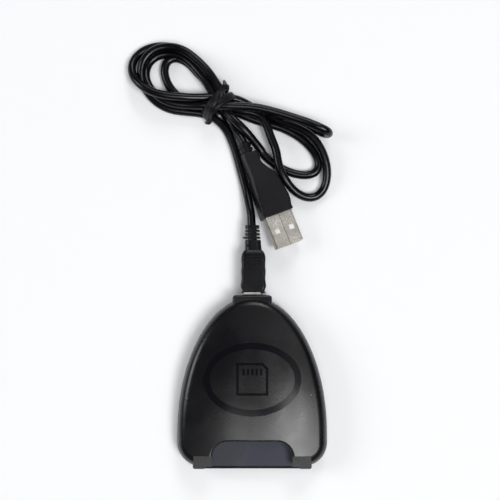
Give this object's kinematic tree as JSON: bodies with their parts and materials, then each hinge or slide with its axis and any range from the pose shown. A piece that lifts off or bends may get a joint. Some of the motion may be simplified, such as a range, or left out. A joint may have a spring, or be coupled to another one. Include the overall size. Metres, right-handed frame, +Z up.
{
  "type": "usb card reader",
  "caption": "Palm-size domed plastic reader for small game or memory cards, with a finger notch over its card slot and a detachable mini-USB to USB-A lead folded and tied.",
  "frame": {"origin": "middle of the housing's footprint, on the surface it rests on", "axes": "+Z up; +Y from the card mouth towards the cable end; +X to the right seen from above with the cable away"},
  "size_m": [0.0848, 0.1759, 0.015],
  "materials": {
    "case_plastic": "satin moulded",
    "tray_plastic": "fine spark-eroded texture",
    "emblem_gloss": "polished recess",
    "screw_steel": "zinc plated",
    "board_laminate": "solder mask",
    "connector_plastic": "moulded",
    "contact_gold": "gold flash",
    "solder_tin": "tinned",
    "chip_resin": "moulded resin",
    "ceramic_tan": "fired ceramic",
    "plated_shell": "nickel plated",
    "white_plastic": "moulded",
    "grip_vinyl": "soft satin",
    "cord_vinyl": "semi-gloss",
    "tie_vinyl": "satin"
  },
  "bodies": {
    "reader": {"upper_case": "case_plastic", "lower_case": "tray_plastic", "case_screws": "screw_steel", "emblem_ring": "emblem_gloss", "emblem_card": "emblem_gloss", "main_board": "board_laminate", "card_slot_housing": "connector_plastic", "card_contact_tails": "contact_gold", "usb_socket_shell": "plated_shell", "usb_socket_tongue": "connector_plastic", "usb_socket_contacts": "contact_gold", "controller_chip": "chip_resin", "controller_leads": "solder_tin", "memory_chip": "chip_resin", "memory_leads": "solder_tin", "crystal": "plated_shell", "capacitors": "ceramic_tan", "resistors": "chip_resin"},
    "contact_comb": {"card_contacts": "contact_gold"},
    "lead": {"mini_plug_shell": "plated_shell", "mini_plug_insulator": "connector_plastic", "mini_plug_contacts": "contact_gold", "mini_plug_grip": "grip_vinyl", "mini_plug_strain_relief": "grip_vinyl", "usb_plug_shell": "plated_shell", "usb_plug_insulator": "white_plastic", "usb_plug_contacts": "contact_gold", "usb_plug_grip": "grip_vinyl", "usb_plug_strain_relief": "grip_vinyl", "cord_lead": "cord_vinyl", "cord_tail": "cord_vinyl", "cord_hank": "cord_vinyl", "cord_tie": "tie_vinyl"}
  },
  "joints": [
    {"name": "lead_unplug", "type": "slide", "parent": "reader", "child": "lead", "axis": [0, 1, 0], "range_m": [0, 0.012]},
    {"name": "contact_press", "type": "hinge", "parent": "reader", "child": "contact_comb", "pos_m": [0, 0.0022, 0.0051], "axis": [-1, 0, 0], "range_deg": [0, 4], "stiffness_Nm_per_rad": 0.9}
  ]
}
